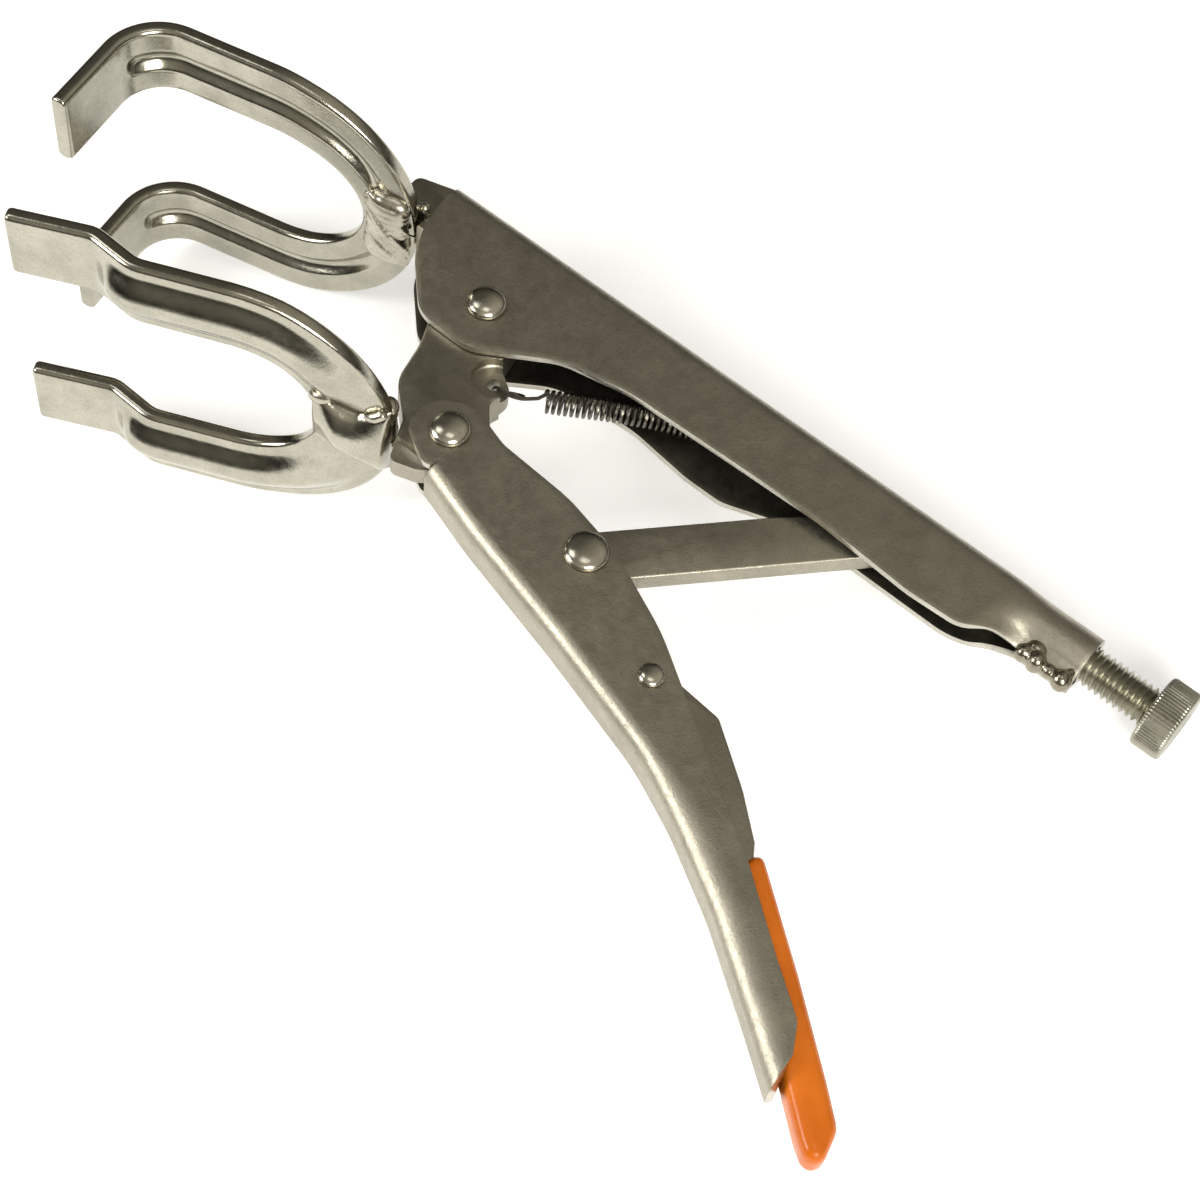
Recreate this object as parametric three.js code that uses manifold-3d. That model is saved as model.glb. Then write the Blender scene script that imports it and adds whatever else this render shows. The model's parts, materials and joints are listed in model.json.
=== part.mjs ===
// Locking welding clamp with two forked jaws: a channel handle that carries the fixed fork and the
// adjusting screw, a moving jaw on a spring, a toggle link, and a channel handle with a release lever.
// Millimetres. The tool is drawn flat, with the main pivot at the origin, X towards the tail, Y away
// from the squeezing hand and Z along the pivots. It is then tipped into the pose in which it lies.

import * as THREE from "three";
import { mergeVertices } from "three/addons/utils/BufferGeometryUtils.js";
import Module from "manifold-3d";

const wasm = await Module();
wasm.setup();

// ---- driving dimensions -------------------------------------------------------------------------

const gap = 0.3; // between pieces that touch in the real tool
const sheet = 1.6; // handle sheet
const channelHalf = 6.5; // half the outside width of both channel handles
const innerHalf = channelHalf - sheet;
const jawHalf = 4.6; // half the thickness of the jaw plate and the upper tang
const linkHalf = 2.5;

const mainPivot = [0, 0];
const handlePivot = [16.8, -32.4];
const linkPivot = [59.7, -37];
const leverPivot = [89.3, -51.7];

const pivotShank = 3.5; // radius of the two large rivets' shanks
const linkShank = 3;
const leverShank = 2;

const coilRadius = 2.85;
const wireRadius = 0.45;

const screwY = 18; // height of the screw's axis
const screwRadius = 4.76;
const tailTubeRadius = 6.4;
const tailEnd = 157.5;
const headStart = 174;
const headLength = 7.5;
const headRadius = 8.6;
const screwTip = 118.6;

const forkHalf = 37; // half the width over both prongs
const prongWidth = 19;
const prongThickness = 4;
const grooveHalf = 3; // the trough behind each raised bead
const grooveDepth = 2;

const rivetHole = 0.25; // clearance round a rivet's shank

// Laid on its far side, the tool rests on an edge of each fork and on the rim of the screw's head.
const restPitch = THREE.MathUtils.degToRad(6.54);
const restRoll = THREE.MathUtils.degToRad(-4.4);

// ---- helpers ------------------------------------------------------------------------------------

// A closed manifold solid from a three.js geometry.
function solid(geometry) {
  const flat = geometry.index ? geometry.toNonIndexed() : geometry;
  const bare = new THREE.BufferGeometry();
  bare.setAttribute("position", flat.getAttribute("position"));
  const merged = mergeVertices(bare, 1e-3);
  return new wasm.Manifold(
    new wasm.Mesh({
      numProp: 3,
      vertProperties: merged.attributes.position.array,
      triVerts: new Uint32Array(merged.index.array),
    }),
  );
}

function join(solids) {
  return solids.reduce((whole, piece) => whole.add(piece));
}

// A path through the points; a third number rounds that corner with an arc of this radius.
function fillets(points, closed) {
  const path = closed ? new THREE.Shape() : new THREE.Path();
  const count = points.length;
  points.forEach(([x, y, radius], i) => {
    const here = new THREE.Vector2(x, y);
    const isEnd = !closed && (i === 0 || i === count - 1);
    if (!radius || isEnd) {
      if (i === 0) path.moveTo(x, y);
      else path.lineTo(x, y);
      return;
    }
    const before = new THREE.Vector2(...points[(i + count - 1) % count]).sub(here).normalize();
    const after = new THREE.Vector2(...points[(i + 1) % count]).sub(here).normalize();
    const half = Math.acos(THREE.MathUtils.clamp(before.dot(after), -1, 1)) / 2;
    const along = radius / Math.tan(half);
    const centre = before.clone().add(after).normalize().multiplyScalar(radius / Math.sin(half)).add(here);
    const start = before.clone().multiplyScalar(along).add(here);
    const end = after.clone().multiplyScalar(along).add(here);
    const clockwise = before.cross(after) > 0;
    if (i === 0) path.moveTo(start.x, start.y);
    else path.lineTo(start.x, start.y);
    path.absarc(centre.x, centre.y, radius, start.sub(centre).angle(), end.sub(centre).angle(), clockwise);
  });
  if (closed) path.closePath();
  return path;
}

// A flat plate: the outline, extruded from z0 to z1.
function plate(points, z0, z1, steps = 3) {
  const shape = points instanceof THREE.Shape ? points : fillets(points, true);
  const geometry = new THREE.ExtrudeGeometry(shape, {
    depth: z1 - z0,
    bevelEnabled: false,
    curveSegments: steps,
  });
  return solid(geometry.translate(0, 0, z0));
}

// A round bar along Z.
function pinZ([x, y], radius, z0, z1, sides = 20) {
  const geometry = new THREE.CylinderGeometry(radius, radius, z1 - z0, sides);
  return solid(geometry.rotateX(Math.PI / 2).translate(x, y, (z0 + z1) / 2));
}

// A block between two X and two Y values, the same distance either side of the middle plane.
function box(x0, x1, y0, y1, half) {
  return plate([[x0, y0], [x1, y0], [x1, y1], [x0, y1]], -half, half);
}

// A turned piece along X: the profile gives [x, radius] from the left end to the right one.
function turnedX(profile, y, sides = 24) {
  const points = profile.map(([x, radius]) => new THREE.Vector2(radius, x));
  const geometry = new THREE.LatheGeometry(points, sides);
  return solid(geometry.rotateZ(-Math.PI / 2).translate(0, y, 0));
}

// A round bar along the screw's axis.
function barX(radius, x0, x1) {
  return turnedX([[x0, 0], [x0, radius], [x1, radius], [x1, 0]], screwY);
}

// A round wire along a smooth path.
function wire(points, radius, steps) {
  const path = new THREE.CatmullRomCurve3(points.map((p) => new THREE.Vector3(...p)));
  const section = new THREE.Shape().absarc(0, 0, radius, 0, 2 * Math.PI);
  return solid(
    new THREE.ExtrudeGeometry(section, { steps, extrudePath: path, curveSegments: 2, bevelEnabled: false }),
  );
}

// The outline of bent sheet: the side profile's line, thickened from one offset to another.
function ribbon(points, from, to) {
  const line = fillets(points, false).getPoints(4);
  const kept = line.filter((p, i) => i === 0 || p.distanceTo(line[i - 1]) > 0.01);
  const shifted = (offset) =>
    kept.map((p, i) => {
      const a = kept[Math.max(i - 1, 0)];
      const b = kept[Math.min(i + 1, kept.length - 1)];
      const way = b.clone().sub(a).normalize();
      return new THREE.Vector2(p.x - way.y * offset, p.y + way.x * offset);
    });
  return new THREE.Shape([...shifted(from), ...shifted(to).reverse()]);
}

const meshes = new THREE.Group();

function add(name, made, material) {
  const data = made.getMesh();
  const geometry = new THREE.BufferGeometry();
  geometry.setAttribute("position", new THREE.BufferAttribute(data.vertProperties.slice(), 3));
  geometry.setIndex(new THREE.BufferAttribute(data.triVerts.slice(), 1));
  const shown = geometry.toNonIndexed();
  shown.computeVertexNormals();
  const mesh = new THREE.Mesh(shown, material);
  mesh.name = name;
  meshes.add(mesh);
}

const steel = (color, roughness) => new THREE.MeshStandardMaterial({ color, roughness, metalness: 1 });
const satinNickel = steel(0x8f897b, 0.42);
const brightNickel = steel(0xb7b2a2, 0.25);
const polished = steel(0xa39d8e, 0.15);
const bareSteel = steel(0x6f6a60, 0.5);
const zinc = steel(0x8d897c, 0.5);
const springSteel = steel(0x4a463f, 0.35);
const vinyl = new THREE.MeshStandardMaterial({ color: 0xe0702a, roughness: 0.3, metalness: 0 });

// ---- the fixed handle ---------------------------------------------------------------------------

// A long bar's cross-section along X: flat sides, and the two upper corners rounded.
function roundedBar(x0, x1, half, bottom, top, corner) {
  const section = [
    [-half, bottom],
    [half, bottom],
    [half, top, corner],
    [-half, top, corner],
  ];
  const bar = new THREE.ExtrudeGeometry(fillets(section, true), {
    depth: x1 - x0,
    bevelEnabled: false,
    curveSegments: 5,
  });
  return solid(bar.rotateY(Math.PI / 2).translate(x0, 0, 0));
}

const channelTop = 24;
const tailStart = 136;
const keelY = 9.5; // the lowest line of the closed tail

function fixedHandle() {
  const side = [
    [-28, channelTop],
    [-26.8, 10],
    [-22, 0, 10],
    [-10, -12.2, 8],
    [5, -12.4, 12],
    [23, -0.6, 16],
    [40, 3, 30],
    [92, 4.4, 60],
    [118, 2.6, 30],
    [131, 3.2, 10],
    [137.5, 7.4, 8],
    [146, keelY],
    [tailEnd, keelY],
    [tailEnd, channelTop],
  ];
  const blank = plate(side, -channelHalf, channelHalf);
  const section = roundedBar(-40, tailEnd, channelHalf, -20, channelTop, 4.5);
  const hollow = roundedBar(-40, 137, innerHalf, -20, channelTop - sheet, 2.6);
  const squareTail = box(tailStart + 10, 170, 5, 30, 10);
  const walls = blank.intersect(section).subtract(hollow).subtract(squareTail);
  const bore = barX(screwRadius + 0.1, tailStart - 26, tailEnd + 12);
  return walls.add(tail(0)).subtract(bore).subtract(pinZ(mainPivot, pivotShank + rivetHole, -10, 10));
}

// The tail, where the walls close round the screw and meet in a keel; it can be drawn larger all round.
function tail(grow) {
  const keel = new THREE.Shape([
    new THREE.Vector2(-5.2 - grow, 14.3),
    new THREE.Vector2(-1.8 - grow, keelY - grow),
    new THREE.Vector2(1.8 + grow, keelY - grow),
    new THREE.Vector2(5.2 + grow, 14.3),
  ]);
  const length = tailEnd - tailStart - 8 + grow;
  const block = new THREE.ExtrudeGeometry(keel, { depth: length, bevelEnabled: false });
  const wedge = solid(block.rotateY(Math.PI / 2).translate(tailStart + 8, 0, 0));
  return wedge.add(barX(tailTubeRadius + grow, tailStart, tailEnd + grow));
}

// The weld that closes the keel's seam: a row of uneven lumps, laid from the near side.
function tailWeld() {
  const lumps = [143, 146.2, 149.4, 152.4, 155.2].map((x, i) => {
    const radius = i % 2 ? 2.2 : 2.7;
    const ball = new THREE.SphereGeometry(radius, 8, 6);
    return solid(ball.scale(1, 0.7, 0.8).translate(x, keelY - 0.7, 0.8));
  });
  const walls = box(tailStart, tailStart + 10 + gap, 5, 30, 10);
  return join(lumps).subtract(tail(gap)).subtract(walls);
}

// ---- the two forks ------------------------------------------------------------------------------

// Each fork is sheet bent to a side profile, drawn from the tips inwards. Its prongs are straight as far
// as `centre`, where a bow joins them; `bow` is how far the bow reaches for a line that far from the
// middle. The bead starts at `beadAt`, heads off at `beadTurn` degrees and comes as near to the middle
// as `beadReach`. It stands on the side away from the grip: +1 above the sheet, -1 below it. Its layers
// are [inset from its edge, height].
const upperFork = {
  profile: [
    [-92.7, -40.6],
    [-98.5, -8.5, 13],
    [-56, 1.9, 40],
    [-26, 10.8],
  ],
  centre: -65.2,
  bow: (across) => 9.8 + 0.716 * across,
  beadAt: [-96.4, -20.2],
  beadTurn: 100,
  beadHalf: 6.8,
  beadReach: 11.4,
  beadSide: 1,
  layers: [
    [0, 0.8],
    [1.4, 1.7],
    [3.2, 2.4],
  ],
};
const lowerFork = {
  profile: [
    [-77.9, -70.2],
    [-60.5, -61.4, 5],
    [-48.5, -61.8, 8],
    [-18.5, -48, 40],
    [7, -38.1],
  ],
  centre: -30,
  bow: (across) => 3 + 0.9 * across,
  beadAt: [-58, -61.5],
  beadTurn: 0,
  beadHalf: 7,
  beadReach: 15,
  beadSide: -1,
  layers: [
    [0, 1],
    [1.4, 2.1],
    [3.2, 3],
  ],
};

// A band of a fork's plan, seen along Y: straight from `start`, then a quarter of the bow.
function planBand(fork, from, to, start) {
  const { centre, bow } = fork;
  const shape = new THREE.Shape();
  shape.moveTo(start, to);
  shape.lineTo(centre, to);
  shape.absellipse(centre, 0, bow(to), to, Math.PI / 2, 0, true);
  shape.lineTo(centre + bow(from), 0);
  shape.absellipse(centre, 0, bow(from), from, 0, Math.PI / 2, false);
  shape.lineTo(start, from);
  shape.closePath();
  const block = new THREE.ExtrudeGeometry(shape, { depth: 240, bevelEnabled: false, curveSegments: 8 });
  return solid(block.translate(0, 0, -120).rotateX(Math.PI / 2));
}

// One prong of a fork, with its half of the bow.
function prong(fork, side) {
  const middle = forkHalf - prongWidth / 2;
  const t = prongThickness / 2;
  const bent = (from, to) => plate(ribbon(fork.profile, from, to), -50, 50);
  const standing = (from, to) => (fork.beadSide > 0 ? bent(from, to) : bent(-to, -from));
  const beadPlan = (half, inset) => {
    const ahead = box(inset, 300, -200, 200, 50).rotate([0, 0, fork.beadTurn]);
    const started = ahead.translate([...fork.beadAt, 0]);
    const reach = plate([[-200, -200], [200, -200], [200, 200], [-200, 200]], fork.beadReach + inset, 50);
    return planBand(fork, middle - half, middle + half, -110).intersect(started).intersect(reach);
  };
  const flat = bent(-t, t).intersect(planBand(fork, forkHalf - prongWidth, forkHalf, -110));
  const layers = fork.layers.map(([inset, height]) =>
    standing(0, t + height).intersect(beadPlan(fork.beadHalf - inset, inset)),
  );
  const inset = fork.beadHalf - grooveHalf;
  const groove = standing(-t - 1, -t + grooveDepth).intersect(beadPlan(grooveHalf, inset));
  const otherHalf = plate([[-200, -200], [200, -200], [200, 200], [-200, 200]], -50, gap / 2);
  const near = join([flat, ...layers]).subtract(groove).subtract(otherHalf);
  return side > 0 ? near : near.mirror([0, 0, 1]);
}

// A weld bead: a row of overlapping rounded lumps from one point to another.
function weldRow(from, to, count, radius) {
  const lumps = [];
  for (let i = 0; i < count; i++) {
    const at = new THREE.Vector3(...from).lerp(new THREE.Vector3(...to), i / (count - 1));
    lumps.push(solid(new THREE.SphereGeometry(radius, 8, 6).translate(at.x, at.y, at.z)));
  }
  return join(lumps);
}

// A low cap of weld on the underside of a fork's bow, where its two prongs meet.
function neckCap(fork, x0, x1, halfWidth, thickness) {
  const top = -prongThickness / 2 - gap;
  const band = plate(ribbon(fork.profile, top - thickness, top), -halfWidth, halfWidth);
  return band.intersect(box(x0, x1, -100, 100, 50));
}

// The room that a fork's sheet takes, with a gap to whatever is welded to it.
function forkRoom(fork) {
  const t = prongThickness / 2 + gap;
  return plate(ribbon(fork.profile, -t, t), -50, 50);
}

// ---- the jaw plate, the tang and the rivets -----------------------------------------------------

const jawPlateOutline = [
  [-9.3, 4, 6],
  [-9.3, -8, 6],
  [-4.8, -18, 20],
  [-2.2, -28.6, 10],
  [6.2, -36.2],
  [10.2, -45.5, 2],
  [16.4, -43.4, 1],
  [19.8, -40.9],
  [25, -37, 4],
  [26, -30, 4],
  [22.3, -24.9, 3],
  [17.6, -19.6, 2],
  [19.3, -13.4, 3.8],
  [12.5, -9.2, 3],
  [9.3, 4, 6],
  [0, 9.6, 6],
];

// The lug for the spring's hook: the jaw plate is milled thinner round its hole.
const springLug = [14, -13.6];
const lugHole = 1.6;
const lugRadius = 5.4;
const lugHalf = 2;
const springAnchor = [66, 13.6];

const upperTangOutline = [
  [-28.2, 8],
  [-19, 8, 4],
  [-10, 13, 6],
  [14, 13, 1],
  [14, 19.4, 1],
  [-28.4, 19.4],
  [-28.4, 22.8],
  [-38, 19.8, 2],
  [-37.6, 9.9],
  [-28.2, 12.7],
];

function rivet([x, y], headAt, shank, head, height) {
  const profile = [[-headAt - height, 0]];
  const dome = (sign) => {
    const steps = 3;
    const made = [];
    for (let i = 1; i <= steps; i++) {
      const turn = ((Math.PI / 2) * i) / steps;
      made.push([sign * (headAt + height * Math.cos(turn)), head * Math.sin(turn)]);
    }
    return made;
  };
  profile.push(...dome(-1), [-headAt, shank], [headAt, shank], ...dome(1).reverse(), [headAt + height, 0]);
  const points = profile.map(([z, radius]) => new THREE.Vector2(radius, z));
  return solid(new THREE.LatheGeometry(points, 16).rotateX(Math.PI / 2).translate(x, y, 0));
}

// Below the handle's pivot the jaw plate is thinned to a tongue.
const tongueHalf = 2.6;
const tongueRoom = [
  [0, -60],
  [30, -60],
  [30, -40.2],
  [0, -40.2],
];

// The root of the lower fork's weld keeps clear of the jaw plate's front edge.
const jawFront = [
  [-2.6, -28.6],
  [5.8, -36.3],
  [9.8, -45.5],
  [10.2, -60],
  [40, -60],
  [40, -20],
  [-2.6, -20],
];

function jawPlate() {
  return plate(jawPlateOutline, -jawHalf, jawHalf)
    .subtract(pinZ(mainPivot, pivotShank + rivetHole, -10, 10))
    .subtract(pinZ(handlePivot, pivotShank + rivetHole, -10, 10))
    .subtract(pinZ(springLug, lugHole, -10, 10, 16))
    .subtract(pinZ(springLug, lugRadius, lugHalf, 10, 32))
    .subtract(pinZ(springLug, lugRadius, -10, -lugHalf, 32))
    .subtract(plate(tongueRoom, tongueHalf, 10))
    .subtract(plate(tongueRoom, -10, -tongueHalf))
    .subtract(forkRoom(lowerFork));
}

// The tab inside the fixed handle that holds the spring's far end.
function springTab() {
  const outline = [
    [62.5, 21.6],
    [63, 11.4, 2.4],
    [69, 11.4, 2.4],
    [69.5, 21.6],
  ];
  return plate(outline, -1.2, 1.2).subtract(pinZ(springAnchor, 1.2, -5, 5, 16));
}

// The weld across the tang's front end, on top of the fork's bow.
function upperRootWeld() {
  const tangRoom = box(-37.8 - gap, 20, -30, 40, 20);
  const row = weldRow([-39, 9.4, -4.4], [-39, 9.4, 4.4], 5, 2.4);
  return row.subtract(forkRoom(upperFork)).subtract(tangRoom);
}

function lowerRootWeld() {
  const row = weldRow([2.4, -37.2, -8], [2.4, -37.2, 8], 7, 2.8);
  return row.subtract(forkRoom(lowerFork)).subtract(plate(jawFront, -20, 20));
}

// ---- the moving handle, the link and the lever --------------------------------------------------

function lowerHandle() {
  const side = [
    [8.2, -36.5, 6],
    [9, -27, 7],
    [19, -24, 8],
    [26, -27.2, 12],
    [48, -28.6, 40],
    [64, -32.4, 40],
    [84, -41.6, 60],
    [104, -54.8, 60],
    [130, -71.8, 80],
    [148, -85.6, 60],
    [161, -96.6, 2],
    [162.2, -107.2, 1],
    [152, -99.4, 60],
    [130.8, -84.4, 80],
    [113, -74, 80],
    [98, -67, 80],
    [67, -57.8, 120],
    [36, -49.6, 80],
    [18.6, -44, 3],
  ];
  const inside = [
    [0, -10],
    [0, -60],
    [18.8, -60],
    [18.8, -42.4],
    [36, -47.8, 80],
    [67, -55.6, 120],
    [98, -64.8, 80],
    [113, -71.6, 80],
    [130.2, -81.8, 80],
    [152, -97, 60],
    [170, -110.8],
    [200, -100],
    [200, -10],
  ];
  const blank = plate(side, -channelHalf, channelHalf);
  const hollow = plate(inside, -innerHalf, innerHalf);
  return blank
    .subtract(hollow)
    .subtract(pinZ(handlePivot, pivotShank + rivetHole, -10, 10))
    .subtract(pinZ(linkPivot, linkShank + rivetHole, -10, 10))
    .subtract(pinZ(leverPivot, leverShank + rivetHole, -10, 10));
}
const linkOutline = [
  [49.8, -36.4, 6],
  [59.3, -45, 6],
  [115, 16.5, 4.6],
  [108.4, 24, 4.6],
  [84.2, 1.5, 40],
];
function toggleLink() {
  return plate(linkOutline, -linkHalf, linkHalf).subtract(pinZ(linkPivot, linkShank + rivetHole, -10, 10));
}

const leverOutline = [
  [77, -50.5, 2.5],
  [81, -46.8, 2.5],
  [94, -47.2, 8],
  [105.4, -48.2, 3],
  [119.3, -58.2, 30],
  [128.5, -66.2, 2],
  [130.5, -69.2],
  [142, -78.2],
  [137, -82.6],
  [113, -66, 20],
  [97, -58, 10],
  [80, -54.5, 4],
];
const sleeveOutline = [
  [131, -67.2, 1.5],
  [152.6, -83.9, 60],
  [170.3, -98.4, 12],
  [177.2, -104.4, 4],
  [180, -116, 2.4],
  [172, -111.4, 6],
  [152, -94.4, 40],
  [128, -75.4, 1.5],
];
const tonguePocket = [
  [112, -52],
  [130.6, -68.4],
  [143, -77.7],
  [137.3, -83.6],
  [112, -66],
];
const leverHalf = 3.2;
const sleeveHalf = 4.4;

function releaseLever() {
  const hole = pinZ(leverPivot, leverShank + rivetHole, -10, 10);
  return plate(leverOutline, -leverHalf, leverHalf).subtract(hole);
}

function leverSleeve() {
  const pocket = plate(tonguePocket, -leverHalf - gap, leverHalf + gap);
  return plate(sleeveOutline, -sleeveHalf, sleeveHalf).subtract(pocket);
}

// ---- the screw and the spring -------------------------------------------------------------------

// The screw's shank is drawn as its outside, without the thread.
function adjustingScrew() {
  const rimBevel = 0.9;
  const shank = screwRadius - 0.06;
  const headEnd = headStart + headLength;
  const profile = [
    [screwTip, 0],
    [screwTip, shank - 1],
    [screwTip + 1, shank],
    [headStart, shank],
    [headStart, headRadius - rimBevel],
    [headStart + rimBevel, headRadius],
    [headEnd - rimBevel, headRadius],
    [headEnd, headRadius - rimBevel],
    [headEnd, 0],
  ];
  return turnedX(profile, screwY, 32);
}

// The screw's smooth point, which slides with it and doesn't turn.
function screwNose() {
  const profile = [
    [screwTip - 2, 0],
    [screwTip - 2, 2.6],
    [screwTip - 1.3, 3.4],
    [screwTip - gap, 3.4],
    [screwTip - gap, 0],
  ];
  return turnedX(profile, screwY);
}

// The tension spring's coil is drawn as its outside, with a wire hook at each end.
function tensionSpring() {
  const from = new THREE.Vector2(...springLug);
  const to = new THREE.Vector2(...springAnchor);
  const way = to.clone().sub(from).normalize();
  const at = (distance) => from.clone().addScaledVector(way, distance);
  const length = to.distanceTo(from);
  const a = at(12);
  const b = at(length - 6);
  const middle = a.clone().add(b).multiplyScalar(0.5);
  const coil = new THREE.CylinderGeometry(coilRadius, coilRadius, a.distanceTo(b), 16);
  coil.rotateZ(way.angle() - Math.PI / 2).translate(middle.x, middle.y, 0);
  const c = at(5);
  const d = at(length - 3);
  const frontPath = [
    [a.x + way.x, a.y + way.y, 1],
    [c.x, c.y, 3],
    [from.x, from.y, 2.9],
    [from.x, from.y, 0],
  ];
  const rearPath = [
    [b.x - way.x, b.y - way.y, 1],
    [d.x, d.y, 2.4],
    [to.x, to.y, 1.8],
    [to.x, to.y, -1],
  ];
  const frontHook = wire(frontPath, wireRadius, 12);
  const rearHook = wire(rearPath, wireRadius, 12);
  return join([solid(coil), frontHook, rearHook]);
}

// ---- every piece --------------------------------------------------------------------------------

const rivetAt = channelHalf + gap;

// Fixed body.
add("fixed_handle", fixedHandle(), satinNickel);
add("tail_weld", tailWeld(), brightNickel);
add("upper_tang", plate(upperTangOutline, -jawHalf, jawHalf), bareSteel);
add("upper_prong_near", prong(upperFork, 1), brightNickel);
add("upper_prong_far", prong(upperFork, -1), brightNickel);
add("upper_root_weld", upperRootWeld(), brightNickel);
add("upper_bow_weld", neckCap(upperFork, -43.5, -27.5, 9, 2.4), brightNickel);
add("main_pivot_rivet", rivet(mainPivot, rivetAt, pivotShank, 4.7, 2.4), polished);
add("spring_anchor", springTab(), bareSteel);

// Moving jaw.
add("jaw_plate", jawPlate(), bareSteel);
add("lower_prong_near", prong(lowerFork, 1), brightNickel);
add("lower_prong_far", prong(lowerFork, -1), brightNickel);
add("lower_root_weld", lowerRootWeld(), brightNickel);
add("lower_neck_plate", neckCap(lowerFork, -11.4, 5.8, 13, 1.8), brightNickel);
add("handle_pivot_rivet", rivet(handlePivot, rivetAt, pivotShank, 4.8, 2.4), polished);

// Moving handle.
add("lower_handle", lowerHandle(), satinNickel);
add("link_rivet", rivet(linkPivot, rivetAt, linkShank, 5.1, 2.1), polished);
add("lever_rivet", rivet(leverPivot, rivetAt, leverShank, 2.9, 1.4), polished);
add("toggle_link", toggleLink(), satinNickel);
add("release_lever", releaseLever(), satinNickel);
add("lever_sleeve", leverSleeve(), vinyl);

// Screw and spring.
add("adjusting_screw", adjustingScrew(), zinc);
add("screw_nose", screwNose(), zinc);
add("tension_spring", tensionSpring(), springSteel);

// ---- the pose in which the tool lies ------------------------------------------------------------

const part = new THREE.Group();
part.name = "locking_welding_clamp";
meshes.rotation.set(restRoll, restPitch, 0);
const bounds = new THREE.Box3().setFromObject(meshes, true);
const middle = bounds.getCenter(new THREE.Vector3());
meshes.position.set(-middle.x, -middle.y, -bounds.min.z);
part.add(meshes);

export default part;
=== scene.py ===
"""The locking welding clamp as it looks: fine pieces and materials over the CAD frame.

Shapes are written in the tool's own millimetres: the main pivot is the origin, X runs along the fixed
handle towards the adjusting screw, Y away from the moving handle, and Z along the pivots.
"""

import json
import math
from contextlib import contextmanager

import bmesh
import bpy
from mathutils import Matrix, Vector, noise
from mathutils.geometry import tessellate_polygon


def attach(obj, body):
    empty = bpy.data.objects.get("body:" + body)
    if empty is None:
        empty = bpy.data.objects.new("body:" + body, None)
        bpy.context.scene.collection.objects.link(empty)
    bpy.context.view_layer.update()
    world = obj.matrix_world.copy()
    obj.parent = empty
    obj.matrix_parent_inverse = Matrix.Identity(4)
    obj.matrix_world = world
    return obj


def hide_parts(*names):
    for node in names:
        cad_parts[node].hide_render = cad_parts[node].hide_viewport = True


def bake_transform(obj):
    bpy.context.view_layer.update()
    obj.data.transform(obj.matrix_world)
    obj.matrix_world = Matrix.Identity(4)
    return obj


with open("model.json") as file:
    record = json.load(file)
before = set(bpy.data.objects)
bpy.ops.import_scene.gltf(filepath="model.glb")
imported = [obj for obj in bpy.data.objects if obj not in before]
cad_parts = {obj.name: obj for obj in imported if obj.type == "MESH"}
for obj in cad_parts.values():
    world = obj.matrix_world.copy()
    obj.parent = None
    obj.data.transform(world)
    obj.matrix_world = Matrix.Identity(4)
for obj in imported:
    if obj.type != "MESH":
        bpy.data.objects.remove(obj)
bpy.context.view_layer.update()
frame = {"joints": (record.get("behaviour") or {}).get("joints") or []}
joints = {joint["name"]: joint for joint in frame["joints"]}


def tool_matrix():
    """From the tool's millimetres to the row frame's metres."""
    x = Vector(joints["screw_travel"]["axis"])
    z = -Vector(joints["jaw_pivot"]["axis"])
    matrix = Matrix((x, z.cross(x), z)).transposed().to_4x4()
    matrix.translation = joints["jaw_pivot"]["pos_m"]
    return matrix @ Matrix.Scale(0.001, 4)


TOOL = tool_matrix()

# ---- dimensions, in millimetres ----

SHEET = 1.6
CHANNEL_HALF = 6.5
JAW_HALF = 4.6
LINK_HALF = 2.5
HANDLE_PIVOT = (16.8, -32.4)
LINK_PIVOT = (59.7, -37.0)
LEVER_PIVOT = (89.3, -51.7)
SPRING_LUG = (14.0, -13.6)
SPRING_ANCHOR = (66.0, 13.6)
LUG_HOLE = 1.6
LUG_RADIUS = 5.4
LUG_HALF = 2.0
CUTTER_TOP = 9  # well past the jaw plate's faces
TONGUE_TOP = -40.2
TONGUE_HALF = 2.6
PIVOT_HOLE = 3.7
RIVET_SEAT = 6.8  # where the rivets' heads begin, just clear of the handles' walls

CHANNEL_TOP = 24.0
TOP_CORNER = 4.5
WEB_CORNER = 3.2
WEB_CREASE = 20  # degrees that the moving handle's web already slopes where its corners begin
WEB_STEPS = 3
ARC_STEPS = 6
WALL_STEPS = 12
SCREW_Y = 18.0
SCREW_RADIUS = 4.7
PITCH = 1.5875
TUBE_RADIUS = 6.4
TUBE_WRAP = 146  # degrees that the sheet follows the tube on each side, from its top
CURL_START = 133.0
CURL_LENGTH = 13.0
TAIL_END = 157.5
KEEL_Y = 9.5
KEEL_HALF = 1.8
SCREW_TIP = 118.6
HEAD_START = 174.0
HEAD_LENGTH = 7.5
HEAD_RADIUS = 8.6

FORK_HALF = 37.0
PRONG_WIDTH = 19.0
PRONG_THICKNESS = 4.0
BEAD_HALF = 7.0
GROOVE_HALF = 3.2
GROOVE_DEPTH = 2.0
RIM_RADIUS = 1.4
TIP_ROUND = 0.8
BOW_END = 89.5  # degrees round the bow, a hair short of the other prong's half

NEAR_AXIS = 0.05  # the radius that closes a lathe piece at its ends


# ---- outlines ----


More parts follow.
